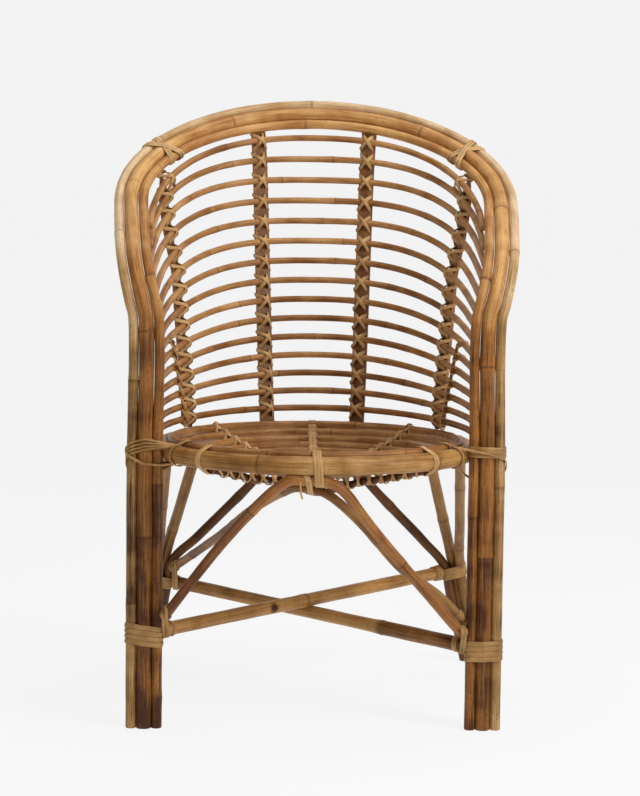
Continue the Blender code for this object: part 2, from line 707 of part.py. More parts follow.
def winding_round(members):
    """Lashing of three turns round parallel poles."""
    return hull_turns(members, members[1][0], members[1][1], 3)


def front_lashing():
    """Poles, middle, direction and turns of the lashing that holds the front arch to the rail."""
    rail = rail_at(0.0)
    arch = front_arch_path()
    crown = min(range(len(arch)), key=lambda index: abs(arch[index].x))
    members = [rail, rim_at(0.0), (arch[crown], direction_at(arch, crown), FRONT_ARCH_R)]
    return members, rail[0], rail[1], 2


def stick_lashing(angle):
    """The same for the lashing on the rail where a diagonal stick ends."""
    rail = rail_at(angle)
    return [rail, rim_at(angle)], rail[0], rail[1], 2


def lashing(name, members, centre, normal, turns):
    path = hull_turns(members, centre, normal, turns)
    gap = own_gap(path, STRIP_R, len(path) // turns - 4)
    print(name, "least gap to itself", round(gap * 1000, 2), "mm")
    tube(name, path, STRIP_R, STRIP, sides=6, roughness=0.45)


def mirror_members(members):
    flip = Vector((-1, 1, 1))
    return [(spot * flip, way * flip, radius) for spot, way, radius in members]


def build_lashings():
    flip = Vector((-1, 1, 1))
    poles = leg_bundle(SEAT_Z)
    inner = poles[2][0]
    angle = math.atan2(inner.x, SEAT_Y)
    rail = rail_at(angle)
    rim_spot, rim_way, rim_r = rim_at(angle)
    members = poles + [rail, (rim_spot, rim_way, rim_r + STRIP_R)]    # clear of the ring's bend
    centre = mix(rail[0], inner, 0.5)
    lean = Vector((0, 0, 1)) + rail[1]
    lashing("lashing_rail_right", members, centre, lean, 3)
    lashing("lashing_rail_left", mirror_members(members), centre * flip, lean * flip, 3)

    for side, front_z, rear_z in (("right", STRETCHER_Z, UPPER_STRETCHER_Z),
                                  ("left", UPPER_STRETCHER_Z, STRETCHER_Z)):
        front = leg_bundle(front_z)
        rear = list(rear_bundle(rear_z + STRETCHER_RISE).values())
        hoops = []
        for offset, radius in ((POLE_STEP, SIDE_POLE_R), (0.0, MIDDLE_POLE_R), (-POLE_STEP, SIDE_POLE_R)):
            low, high = pole_path(offset)[TOP_LASH_STATION:TOP_LASH_STATION + 2]
            hoops.append((mix(low, high, 0.5), (high - low).normalized(), radius))
        for kind, members in (("front_leg", front), ("rear_leg", rear), ("hoop", hoops)):
            if side == "left":
                members = mirror_members(members)
            lashing(f"lashing_{kind}_{side}", members, members[1][0], members[1][1], 3)

    lashing("lashing_rail_front", *front_lashing())
    for side, angle in (("right", STICK_SPREAD), ("left", -STICK_SPREAD)):
        lashing(f"lashing_stick_{side}", *stick_lashing(angle))


def main():
    clear_scene()
    collection = bpy.data.collections.new(COLLECTION)
    bpy.context.scene.collection.children.link(collection)
    build_hoops()
    build_seat()
    build_back_rings()
    for side, sign in (("right", 1), ("left", -1)):
        build_splat(f"side_splat_{side}", SIDE_SPLAT, STRIP_SEAT, sign)
        build_splat(f"back_splat_{side}", BACK_SPLAT, 0.0, sign)
        build_binding(f"side_binding_{side}", SIDE_SPLAT, sign)
        build_binding(f"back_binding_{side}", BACK_SPLAT, sign)
        build_stay(f"side_stay_{side}", sign)
    build_stretchers()
    build_arches()
    build_rear_legs()
    build_lashings()


main()
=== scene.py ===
# %% [markdown]
# # A bent-cane tub chair
# The chair is made of solid canes, steamed, bent and bound with strips of split cane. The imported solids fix
# where each cane lies. This lesson gives every cane its joints, swellings and skin, and winds the bindings.

import json
import math
import random
import statistics

import bmesh
import bpy
from mathutils import Matrix, Vector
from mathutils.kdtree import KDTree

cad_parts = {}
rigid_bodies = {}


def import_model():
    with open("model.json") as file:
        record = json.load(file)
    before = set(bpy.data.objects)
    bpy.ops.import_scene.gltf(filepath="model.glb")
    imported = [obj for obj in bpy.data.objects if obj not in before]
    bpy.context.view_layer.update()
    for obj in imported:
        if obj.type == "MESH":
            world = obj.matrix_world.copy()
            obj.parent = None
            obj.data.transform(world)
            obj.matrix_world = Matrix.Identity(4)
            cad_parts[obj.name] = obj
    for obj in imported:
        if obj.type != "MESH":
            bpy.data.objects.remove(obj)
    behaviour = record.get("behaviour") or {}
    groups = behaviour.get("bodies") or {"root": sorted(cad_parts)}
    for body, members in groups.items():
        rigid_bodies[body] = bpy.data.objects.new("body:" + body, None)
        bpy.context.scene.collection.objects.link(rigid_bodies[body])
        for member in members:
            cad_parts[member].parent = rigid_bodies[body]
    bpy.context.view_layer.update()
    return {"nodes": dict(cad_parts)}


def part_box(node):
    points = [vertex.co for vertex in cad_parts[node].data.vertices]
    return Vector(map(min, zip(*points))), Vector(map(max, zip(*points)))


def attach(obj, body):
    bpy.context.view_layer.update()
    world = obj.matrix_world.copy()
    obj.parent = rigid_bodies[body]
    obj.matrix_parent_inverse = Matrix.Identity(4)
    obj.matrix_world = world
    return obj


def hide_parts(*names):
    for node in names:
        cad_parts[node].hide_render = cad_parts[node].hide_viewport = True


for leftover in list(bpy.data.objects):
    bpy.data.objects.remove(leftover, do_unlink=True)
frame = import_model()
bpy.ops.object.select_all(action="DESELECT")
print("solids in the frame:", len(frame["nodes"]))

# %% [markdown]
# ## Camera
# The photo was taken from about three metres, a little above the arms and a hand's width to the left of
# the middle. A long lens keeps the legs nearly parallel. The focal length is given in pixels of the 640 pixel
# wide frame, so it is turned into millimetres of a 36 mm sensor.

# %% Camera
FRAME_WIDTH = 640
FOCAL_PIXELS = 2262
SENSOR = 36
POLE_RADIUS = 0.0098
DISTANCE = 3.0              # from the middle pole's front leg
ASIDE, EYE_HEIGHT = -0.073, 0.72
DOWN, RIGHT, ROLL = 5.18, 1.47, 0.7                 # degrees
front_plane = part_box("hoop_middle")[0].y + POLE_RADIUS
bpy.ops.object.camera_add(location=(ASIDE, front_plane - DISTANCE, EYE_HEIGHT))
camera = bpy.context.object
look_down = Matrix.Rotation(math.radians(90 - DOWN), 4, "X")
look_right = Matrix.Rotation(math.radians(-RIGHT), 4, "Z")
roll = Matrix.Rotation(math.radians(ROLL), 4, "Z")
camera.matrix_world = Matrix.Translation(camera.location) @ look_right @ look_down @ roll
camera.data.sensor_fit = "HORIZONTAL"
camera.data.sensor_width = SENSOR
camera.data.lens = FOCAL_PIXELS / FRAME_WIDTH * SENSOR
bpy.context.scene.camera = camera
print("lens", round(camera.data.lens, 1), "mm")

# %% [markdown]
# ## Colours and nodes
# Colours are written as the hex values that a colour picker shows. The renderer works in linear light, so one
# function converts them. A second small function adds a shader node, sets it up and links it.


# %% Helpers for materials
def linear(code):
    """Linear colour, with alpha, of an sRGB hex value."""
    parts = [int(code[place:place + 2], 16) / 255 for place in (1, 3, 5)]
    return [part / 12.92 if part <= 0.04045 else ((part + 0.055) / 1.055) ** 2.4 for part in parts] + [1.0]


def add(tree, kind, settings, **sockets):
    """Adds a node. A socket is given a value, or another node's output to link to; n0 is the first socket."""
    node = tree.nodes.new("ShaderNode" + kind)
    for key, value in settings.items():
        if key == "stops":
            while len(node.color_ramp.elements) < len(value):
                node.color_ramp.elements.new(0.5)
            for element, (place, code) in zip(node.color_ramp.elements, value):
                element.position = place
                element.color = linear(code)
        else:
            setattr(node, key, value)
    for key, value in sockets.items():
        numbered = key[0] == "n" and key[1:].isdigit()
        socket = node.inputs[int(key[1:]) if numbered else key.replace("_", " ")]
        if isinstance(value, bpy.types.NodeSocket):
            tree.links.new(value, socket)
        else:
            socket.default_value = value
    return node


# %% [markdown]
# ## Cane
# Rattan cane is a solid vine. Its skin is glossy and straw to honey brown, with fine fibres along its length,
# darker specks, and a ring-shaped scar at each joint. Sun and smoke darken some lengths more than others.
# Each cane carries its length in metres in its UV map, and a number named joint that grows by one from joint
# to joint: its whole part tells the lengths apart, and its fraction is zero on the scar. A second number,
# shade, darkens stained places and darker lengths. It also carries painted shade on the seat rail's left part,
# and a painted shadow on a collar below the splice of the middle pole.

# %% Cane finishes
FIBRE_WIDTH = 0.0011        # fibres are finer on the real skin; this is as fine as the render shows
FIBRE_LENGTH = 0.050
STREAK_WIDTH = 0.0045
STREAK_LENGTH = 0.16
SPECK_LENGTH = 0.0020
SPECK_WIDTH = 0.0009
BLOTCH = 0.045
SCAR = 0.010                # of the length from joint to joint
SHADE_TOP, SHADE_FULL = 0.66, 0.50      # heights between which the legs darken


def cane_finish(name, pale, middle, dark, leg_shade):
    """A cane's skin; leg_shade is how much darker it is low down."""
    material = bpy.data.materials.new(name)
    material.use_nodes = True
    tree = material.node_tree
    skin = tree.nodes["Principled BSDF"]
    skin.inputs["IOR"].default_value = 1.50
    skin.inputs["Specular IOR Level"].default_value = 0.20
    skin.inputs["Coat Weight"].default_value = 0.05
    skin.inputs["Coat Roughness"].default_value = 0.30

    along = add(tree, "UVMap", {"uv_map": "UVMap"}).outputs["UV"]
    place = add(tree, "TexCoord", {}).outputs["Object"]
    joint = add(tree, "Attribute", {"attribute_name": "joint"}).outputs["Fac"]
    fibre_scale = (1 / FIBRE_LENGTH, 1 / FIBRE_WIDTH, 1)
    stretch = add(tree, "Mapping", {}, Vector=along, Scale=fibre_scale).outputs["Vector"]
    fibre = add(tree, "TexNoise", {"noise_dimensions": "2D"}, Vector=stretch, Scale=1.0, Detail=3.0,
                Roughness=0.6).outputs["Fac"]
    streak_scale = (1 / STREAK_LENGTH, 1 / STREAK_WIDTH, 1)
    drawn = add(tree, "Mapping", {}, Vector=along, Scale=streak_scale).outputs["Vector"]
    streak = add(tree, "TexNoise", {"noise_dimensions": "2D"}, Vector=drawn, Scale=1.0,
                 Detail=2.0).outputs["Fac"]
    blotch = add(tree, "TexNoise", {}, Vector=place, Scale=1 / BLOTCH, Detail=4.0,
                 Roughness=0.55).outputs["Fac"]
    length = add(tree, "Math", {"operation": "FLOOR"}, n0=joint).outputs[0]
    tone = add(tree, "TexWhiteNoise", {"noise_dimensions": "1D"}, W=length).outputs["Value"]

    height = add(tree, "SeparateXYZ", {}, Vector=place).outputs["Z"]
    low = add(tree, "MapRange", {}, Value=height, n1=SHADE_TOP, n2=SHADE_FULL, n3=0.0,
              n4=leg_shade).outputs[0]
    mixed = add(tree, "Math", {"operation": "MULTIPLY_ADD"}, n0=fibre, n1=0.66, n2=-0.29).outputs[0]
    mixed = add(tree, "Math", {"operation": "MULTIPLY_ADD"}, n0=streak, n1=0.40, n2=mixed).outputs[0]
    mixed = add(tree, "Math", {"operation": "MULTIPLY_ADD"}, n0=blotch, n1=0.80, n2=mixed).outputs[0]
    mixed = add(tree, "Math", {"operation": "MULTIPLY_ADD"}, n0=tone, n1=0.18, n2=mixed).outputs[0]
    mixed = add(tree, "Math", {"operation": "SUBTRACT"}, n0=mixed, n1=low).outputs[0]
    shade = add(tree, "Attribute", {"attribute_name": "shade"}).outputs["Fac"]
    mixed = add(tree, "Math", {"operation": "SUBTRACT"}, n0=mixed, n1=shade).outputs[0]
    stops = [(0.18, dark), (0.55, middle), (0.95, pale)]
    skin_colour = add(tree, "ValToRGB", {"stops": stops}, Fac=mixed).outputs["Color"]

    speck_scale = (1 / SPECK_LENGTH, 1 / SPECK_WIDTH, 1)
    spots = add(tree, "Mapping", {}, Vector=along, Scale=speck_scale).outputs["Vector"]
    speck = add(tree, "TexNoise", {"noise_dimensions": "2D"}, Vector=spots, Scale=0.5,
                Detail=2.0).outputs["Fac"]
    speckled = add(tree, "Math", {"operation": "MULTIPLY_ADD"}, n0=blotch, n1=0.35, n2=speck).outputs[0]
    speckled = add(tree, "Math", {"operation": "MULTIPLY_ADD"}, n0=low, n1=0.15, n2=speckled).outputs[0]
    speck = add(tree, "MapRange", {}, Value=speckled, n1=0.89, n2=0.97, n3=0.0, n4=0.70).outputs[0]
    skin_colour = add(tree, "MixRGB", {}, Fac=speck, Color1=skin_colour,
                      Color2=linear("#241207")).outputs["Color"]

    away = add(tree, "Math", {"operation": "PINGPONG"}, n0=joint, n1=0.5).outputs[0]
    scar = add(tree, "MapRange", {}, Value=away, n1=0.0, n2=SCAR, n3=0.55, n4=0.0).outputs[0]
    skin_colour = add(tree, "MixRGB", {}, Fac=scar, Color1=skin_colour,
                      Color2=linear("#3C200C")).outputs["Color"]
    tree.links.new(skin_colour, skin.inputs["Base Color"])

    rough = add(tree, "MapRange", {}, Value=fibre, n1=0.2, n2=0.8, n3=0.36, n4=0.54).outputs[0]
    tree.links.new(rough, skin.inputs["Roughness"])
    ridges = add(tree, "Math", {"operation": "SUBTRACT"}, n0=fibre, n1=speck).outputs[0]
    bump = add(tree, "Bump", {}, Strength=0.45, Distance=0.0005, Height=ridges).outputs["Normal"]
    tree.links.new(bump, skin.inputs["Normal"])
    return material


straw_cane = cane_finish("straw_rattan_cane", "#DCBF98", "#AC844F", "#4A2A0C", 0.32)
honey_cane = cane_finish("honey_rattan_cane", "#D4A668", "#A06830", "#42230A", 0.36)
rail_cane = cane_finish("seat_rail_rattan_cane", "#C69A5E", "#8C5E2A", "#40250C", 0.0)
ring_cane = cane_finish("thin_rattan_cane", "#C0905A", "#875728", "#42250C", 0.08)
pale_cane = cane_finish("pale_rattan_cane", "#B88A50", "#845828", "#3C220A", 0.0)
red_cane = cane_finish("red_brown_rattan_cane", "#A8723C", "#6C3C16", "#2E1505", 0.0)
brown_cane = cane_finish("brown_rattan_cane", "#A67C44", "#72491F", "#331C07", 0.0)
dark_cane = cane_finish("dark_rattan_cane", "#74491F", "#482910", "#1F0F03", 0.0)
print("cane finishes:", 8)

# %% [markdown]
# ## Split cane
# The bindings are the vine's outer skin, split off in strips: flat, pale straw, matt, with straight fibres.
# The four upright splats are wider split pieces, darker because their rough inner side shows.

# %% Split cane finishes
STRIP_FIBRE = 0.0007
STRIP_FIBRE_LENGTH = 0.060
SPLAT_FIBRE = 0.0016
SPLAT_FIBRE_LENGTH = 0.07
STAIN = 0.018


def split_finish(name, pale, middle, dark, coordinate, scale):
    """Split cane: fibres drawn out along one direction of the given coordinate."""
    material = bpy.data.materials.new(name)
    material.use_nodes = True
    tree = material.node_tree
    skin = tree.nodes["Principled BSDF"]
    skin.inputs["IOR"].default_value = 1.48
    skin.inputs["Specular IOR Level"].default_value = 0.4
    if coordinate == "UV":
        place = add(tree, "UVMap", {"uv_map": "UVMap"}).outputs["UV"]
    else:
        place = add(tree, "TexCoord", {}).outputs["Object"]
    stretch = add(tree, "Mapping", {}, Vector=place, Scale=scale).outputs["Vector"]
    fibre = add(tree, "TexNoise", {}, Vector=stretch, Scale=1.0, Detail=3.0, Roughness=0.65).outputs["Fac"]
    body = add(tree, "TexCoord", {}).outputs["Object"]
    stain = add(tree, "TexNoise", {}, Vector=body, Scale=1 / STAIN, Detail=4.0).outputs["Fac"]
    mixed = add(tree, "Math", {"operation": "MULTIPLY_ADD"}, n0=fibre, n1=0.6, n2=0.05).outputs[0]
    mixed = add(tree, "Math", {"operation": "MULTIPLY_ADD"}, n0=stain, n1=0.5, n2=mixed).outputs[0]
    stops = [(0.30, dark), (0.58, middle), (0.82, pale)]
    colour = add(tree, "ValToRGB", {"stops": stops}, Fac=mixed).outputs["Color"]
    tree.links.new(colour, skin.inputs["Base Color"])
    rough = add(tree, "MapRange", {}, Value=fibre, n1=0.2, n2=0.8, n3=0.46, n4=0.64).outputs[0]
    tree.links.new(rough, skin.inputs["Roughness"])
    bump = add(tree, "Bump", {}, Strength=0.5, Distance=0.0004, Height=fibre).outputs["Normal"]
    tree.links.new(bump, skin.inputs["Normal"])
    return material


strip_scale = (1 / STRIP_FIBRE_LENGTH, 1 / STRIP_FIBRE, 1)
straw_strip = split_finish("split_cane_strip", "#D8B682", "#B88E58", "#7A5730", "UV", strip_scale)
worn_strip = split_finish("worn_cane_strip", "#C49A60", "#98703C", "#583A1A", "UV", strip_scale)
splat_scale = (1 / SPLAT_FIBRE, 1 / SPLAT_FIBRE, 1 / SPLAT_FIBRE_LENGTH)
split_splat = split_finish("split_cane_splat", "#A87844", "#7C4E24", "#3A1F0A", "Object", splat_scale)
for name in ("side_splat_left", "side_splat_right", "back_splat_left", "back_splat_right"):
    frame["nodes"][name].data.materials.clear()
    frame["nodes"][name].data.materials.append(split_splat)
print("split finishes:", 3)

# %% [markdown]
# ## Iron
# The nail's head is old iron: dark, half rusted and rough, with only the top of the dome a little brighter.

# %% Rusty iron
RUST_GRAIN = 0.0012
rusty_iron = bpy.data.materials.new("rusty_iron")
rusty_iron.use_nodes = True
tree = rusty_iron.node_tree
place = add(tree, "TexCoord", {}).outputs["Object"]
rust = add(tree, "TexNoise", {}, Vector=place, Scale=1 / RUST_GRAIN, Detail=4.0).outputs["Fac"]
rust_stops = [(0.35, "#17110D"), (0.65, "#4A2A17")]
rust_colour = add(tree, "ValToRGB", {"stops": rust_stops}, Fac=rust).outputs["Color"]
tree.links.new(rust_colour, tree.nodes["Principled BSDF"].inputs["Base Color"])
tree.nodes["Principled BSDF"].inputs["Metallic"].default_value = 0.6
rust_rough = add(tree, "MapRange", {}, Value=rust, n1=0.3, n2=0.7, n3=0.45, n4=0.8).outputs[0]
tree.links.new(rust_rough, tree.nodes["Principled BSDF"].inputs["Roughness"])
print("iron finish:", rusty_iron.name)

# %% [markdown]
# ## Centrelines
# The solids are plain tubes, so each cane's middle line can be read back from its solid. The walk starts
# at the corners of one end and goes on from ring to ring, and the mean of each ring is a point of the line. A
# line always runs from left to right, or upwards where it doesn't cross the middle.


# %% Read a centreline
CIRCLE_STEPS = 48


def nearest(path, spot):
    """Nearest point of a line to a spot, and the line's direction there."""
    best = None
    for start, end in zip(path, path[1:]):
        run = end - start
        share = min(max((spot - start).dot(run) / run.length_squared, 0.0), 1.0)
        point = start + run * share
        if best is None or (spot - point).length < (spot - best[0]).length:
            best = (point, run.normalized())
    return best


def circle_middle(face):
    """Middle of the circle through a triangle's corners."""
    a, b, c = (vert.co for vert in face.verts)
    square = (a - c).cross(b - c)
    return c + ((b - c) * (a - c).length_squared - (a - c) * (b - c).length_squared).cross(square) / (
        2 * square.length_squared)


def end_ring(shape):
    """Corners at one end of a tube: on the floor, or where most triangles share one circle."""
    floor = [vert for vert in shape.verts if vert.co.z < 0.0005]
    if floor:
        return [vert for vert in floor if vert.co.x * floor[0].co.x > 0]
    middles = [circle_middle(face) for face in shape.faces]
    tree = KDTree(len(middles))
    for index, middle in enumerate(middles):
        tree.insert(middle, index)
    tree.balance()
    shape.faces.ensure_lookup_table()
    group = max((tree.find_range(middle, 0.0001) for middle in middles), key=len)
    corners = {vert for _, index, _ in group for vert in shape.faces[index].verts}
    return sorted(corners, key=lambda vert: vert.index)


def centreline(node):
    """Points of an open cane's middle line, and its radius."""
    shape = bmesh.new()
    shape.from_mesh(frame["nodes"][node].data)
    bmesh.ops.remove_doubles(shape, verts=shape.verts, dist=0.00002)
    shape.verts.index_update()
    ring = end_ring(shape)
    path, seen = [], set()
    while ring:
        seen.update(ring)
        path.append(sum((vert.co for vert in ring), Vector()) / len(ring))
        beside = {edge.other_vert(vert) for vert in ring for edge in vert.link_edges}
        ring = sorted(beside - seen, key=lambda vert: vert.index)     # the same order in each run
    radius = statistics.median((vert.co - nearest(path, vert.co)[0]).length for vert in shape.verts)
    shape.free()
    if path[0].x * path[-1].x < 0 and path[0].x > path[-1].x:
        path.reverse()
    if path[0].x * path[-1].x > 0 and path[0].z > path[-1].z:
        path.reverse()
    return path, radius


def circle_line(node):
    """The same for a cane that closes on itself: points, starting at the back, and radius."""
    corners = [Vector(corner) for corner in {tuple(vert.co) for vert in frame["nodes"][node].data.vertices}]
    middle = sum(corners, Vector()) / len(corners)
    reach = statistics.mean((corner - middle).xy.length for corner in corners)
    radius = max(math.hypot((corner - middle).xy.length - reach, corner.z - middle.z) for corner in corners)
    turns = [math.tau * step / CIRCLE_STEPS for step in range(CIRCLE_STEPS)]
    return [middle + Vector((reach * math.sin(turn), reach * math.cos(turn), 0)) for turn in turns], radius


OPEN_CANES = ("hoop", "back_ring", "stretcher", "side_stay", "seat_stick", "rear_leg")
lines = {}
for node in frame["nodes"]:
    if node.startswith(OPEN_CANES) or "arch" in node:
        lines[node] = centreline(node)
    if node.startswith(("seat_ring", "seat_rail")):
        lines[node] = circle_line(node)
STICK_DROP = 0.011          # the diagonal sticks pass under the rail at the front, where bands hold them
STICK_OUT = 0.012
STICK_RUN = 0.14            # of a stick's front end, which is bent down
for node in ("seat_stick_left", "seat_stick_right"):
    path, radius = lines[node]
    end, after = sorted((path[0], path[-1]), key=lambda spot: spot.y)
    outward = (end - after).normalized() * STICK_OUT
    for spot in path:
        share = max(0.0, 1 - (spot - end).length / STICK_RUN)
        spot.z -= STICK_DROP * share
    end += outward
print("centrelines:", len(lines), "points:", sum(len(path) for path, radius in lines.values()))

# %% [markdown]
# ## Making a cane
# A cane is made straight and then bent, as the real one is. It starts as a flat grid, as long as the cane and
# as wide as its girth, which is rolled into a tube. Its rows crowd together at the joints, where the cane
# swells and has a sharp scar. A Curve modifier then bends the straight cane along its line.

# %% Straight canes and their bending
ROW = 0.004                 # between rows of a plain length
SIDES = 20
END_ROWS = (0.0008, 0.002)
JOINT_ROWS = (-0.009, -0.004, -0.002, -0.0008, 0.0, 0.0008, 0.002, 0.005)
LEG_SWELL = 0.11            # reached LEG_RUN below LEG_TOP
LEG_TOP, LEG_RUN = 0.47, 0.15
HOOP_LENGTH = 2.0           # only the hoops are longer
SWELL_BEFORE, SWELL_AFTER = 0.012, 0.005
END_TAPER = 0.002


def bend_line(name, path, closed):
    """Smooth curve through the points of a centreline."""
    data = bpy.data.curves.new(name + "_line", "CURVE")
    data.dimensions = "3D"
    data.resolution_u = 16
    data.twist_mode = "MINIMUM"
    spline = data.splines.new("BEZIER")
    spline.bezier_points.add(len(path) - 1)
    for point, spot in zip(spline.bezier_points, path):
        point.co = spot
        point.handle_left_type = "AUTO"
        point.handle_right_type = "AUTO"
    spline.use_cyclic_u = closed
    line = bpy.data.objects.new(name + "_line", data)
    bpy.context.scene.collection.objects.link(line)
    return line, spline.calc_length()


def joint_places(length, internode, seed):
    """Uneven joints along a cane."""
    chance = random.Random(seed)
    places = []
    place = internode * chance.uniform(0.2, 0.9)
    while place < length - 0.02:
        places.append(place)
        place += internode * chance.uniform(0.75, 1.25)
    return places


def rows_of(length, joints):
    """Where the rows of the grid lie, closer at the joints and at the ends."""
    rows = {0.0, *END_ROWS, *(length - row for row in END_ROWS), length}
    rows.update(length * step / round(length / ROW) for step in range(round(length / ROW)))
    for joint in joints:
        rows.update(joint + step for step in JOINT_ROWS)
    rows = sorted(row for row in rows if 0 <= row <= length)
    return [row for row, after in zip(rows, rows[1:] + [math.inf]) if after - row > 0.0003]


def leg_growth(height):
    """The long poles grow thicker towards their feet."""
    return 1.0 + LEG_SWELL * min(max((LEG_TOP - height) / LEG_RUN, 0.0), 1.0)


def girth_at(row, length, radius, joints, closed, seed):
    """Radius of the cane: it swells before a joint, steps down after it and tapers a little at its ends."""
    size = radius * (1.015 + 0.012 * math.sin(row * 31 + seed) + 0.010 * math.sin(row * 83 + seed * 2))
    if length > HOOP_LENGTH:
        size *= leg_growth(min(row, length - row))
    for joint in joints:
        off = row - joint
        swell = math.exp(-(off / (SWELL_BEFORE if off < 0 else SWELL_AFTER)) ** 2)
        size += radius * (0.085 * swell - 0.06 * math.exp(-((off - 0.0008) / 0.0009) ** 2))
    if not closed:
        size -= max(0.0, END_TAPER - min(row, length - row)) * 0.35
    return size


def edit_all(step):
    """Runs one edit on the whole mesh of the active piece."""
    bpy.ops.object.mode_set(mode="EDIT")
    bpy.ops.mesh.select_all(action="SELECT")
    step()
    bpy.ops.object.mode_set(mode="OBJECT")


def close_end(cane, end):
    """Fills the open end of a straight cane."""
    bpy.ops.object.mode_set(mode="EDIT")
    bpy.ops.mesh.select_mode(type="VERT")
    bpy.ops.mesh.select_all(action="DESELECT")
    bpy.ops.object.mode_set(mode="OBJECT")
    for vert in cane.data.vertices:
        vert.select = abs(vert.co.x - end) < 0.00005
    bpy.ops.object.mode_set(mode="EDIT")
    bpy.ops.mesh.edge_face_add()
    bpy.ops.object.mode_set(mode="OBJECT")


def below_floor(path):
    """The line of a leaning cane, from a little below the floor: its sawn end doesn't lie square to it."""
    way = path[1] - path[2]
    return [path[1] + way * ((path[1].z + 0.012) / -way.z)] + path[1:]


def shade_at(spot, shades):
    """How much darker a spot is. Each shade has a middle, a reach, the width of its edge and an amount."""
    return sum(amount * min(max((reach - (spot - middle).length) / edge, 0.0), 1.0)
               for middle, reach, edge, amount in shades)


def make_cane(name, path, radius, finish, internode, closed=False, joints=None, step=None, shades=()):
    """A cane with joints, bent along its line. One that leans on the floor is made longer and sawn flat."""
    sawn = name.startswith("rear")
    if sawn:
        path = below_floor(path)
    if name.startswith("rear_arch"):
        path = below_floor(path[::-1])[::-1]
    seed = sum(ord(letter) * (place + 1) for place, letter in enumerate(name))
    line, length = bend_line(name, path, closed)
    if joints is None:
        joints = joint_places(length, internode, seed)
    joints = sorted(length + joint if joint < 0 else joint for joint in joints)
    rows = rows_of(length, joints)
    bpy.ops.object.select_all(action="DESELECT")
    bpy.ops.mesh.primitive_grid_add(x_subdivisions=len(rows) - 1, y_subdivisions=SIDES, size=2)
    cane = bpy.context.object
    cane.name = name
    mesh = cane.data
    marks = [-0.15] + joints + [length + 0.15]
    row_of = [rows[round((vert.co.x + 1) / 2 * (len(rows) - 1))] for vert in mesh.vertices]
    joint_mark = mesh.attributes.new("joint", "FLOAT", "POINT")
    for vert, row, place in zip(mesh.vertices, row_of, joint_mark.data):
        turn = math.pi * vert.co.y
        size = girth_at(row, length, radius, joints, closed, seed)
        if step and row > step[0] % length:
            size *= step[1]
        vert.co = (row, size * math.cos(turn), size * math.sin(turn))
        before = max(index for index, mark in enumerate(marks) if mark <= row)
        start, end = marks[before], marks[before + 1]
        place.value = seed % 97 + before + (row - start) / (end - start)
    for corner, loop in zip(mesh.uv_layers[0].data, mesh.loops):
        corner.uv = (row_of[loop.vertex_index], corner.uv[1] * math.tau * radius)
    edit_all(lambda: bpy.ops.mesh.remove_doubles(threshold=0.00001))
    if not closed:
        for end in (0.0, length):
            close_end(cane, end)
    edit_all(lambda: bpy.ops.mesh.normals_make_consistent(inside=False))
    bend = cane.modifiers.new("bend", "CURVE")
    bend.object = line
    bend.deform_axis = "POS_X"
    bpy.ops.object.modifier_apply(modifier="bend")
    bpy.data.objects.remove(line, do_unlink=True)
    if closed:
        edit_all(lambda: bpy.ops.mesh.remove_doubles(threshold=0.0004))
    if sawn:
        edit_all(lambda: bpy.ops.mesh.bisect(plane_co=(0, 0, 0), plane_no=(0, 0, 1), clear_inner=True,
                                             use_fill=True))
    shade_mark = mesh.attributes.new("shade", "FLOAT", "POINT")
    for vert, place in zip(mesh.vertices, shade_mark.data):
        place.value = shade_at(vert.co, shades)
    bpy.ops.object.shade_smooth()
    mesh.uv_layers[0].name = "UVMap"
    mesh.materials.append(finish)
    return cane


def settle_piece(piece, slot, *nodes):
    """A finished piece rides on the chair, and stands for the solids that it shows."""
    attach(piece, "root")
    if nodes:
        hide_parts(*nodes)


# %% [markdown]
# ## The canes of the chair
# The three hoops are the longest canes, with joints where the photo shows them: heights are counted from the
# left foot, and negative ones from the right foot. The middle pole is spliced low on the right leg, where it
# goes on a little thinner; a painted shadow darkens a collar just below the splice. All other canes have
# joints at uneven steps.

# %% Hoops
HOOP_JOINTS = {
    "hoop_outer": [0.17, 0.47, 0.70, 0.98, 1.24, 1.52, -0.66, -0.33],
    "hoop_middle": [0.26, 0.535, 0.84, 1.09, 1.39, 1.66, -0.492, -0.235],
    "hoop_inner": [0.044, 0.33, 0.61, 0.90, 1.18, 1.43, -0.61, -0.29]}
STEPS = {"hoop_middle": (-0.235, 0.95)}
HOOP_FINISH = {"hoop_outer": straw_cane, "hoop_middle": honey_cane, "hoop_inner": honey_cane}
middle_pole = lines["hoop_middle"][0]
crown = middle_pole[len(middle_pole) // 2]
# Below the splice a painted shadow darkens a collar, where the end of the upper length would shade the lower
# one.
splice = middle_pole[-1] + Vector((0, 0, 0.227))
HOOP_SHADES = {
    "hoop_outer": [],
    "hoop_middle": [(middle_pole[0], 0.10, 0.09, 0.14), (crown, 0.24, 0.14, 0.16),
                    (splice, 0.012, 0.006, 0.35)],
    "hoop_inner": [(lines["hoop_inner"][0][0], 0.044, 0.002, 0.16)]}
for node, joints in HOOP_JOINTS.items():
    path, radius = lines[node]
    cane = make_cane(node.replace("hoop", "bent_pole"), path, radius, HOOP_FINISH[node], 0.3, joints=joints,
                     step=STEPS.get(node), shades=HOOP_SHADES[node])
    settle_piece(cane, "cane", node)
    print(cane.name, len(cane.data.vertices), "points")
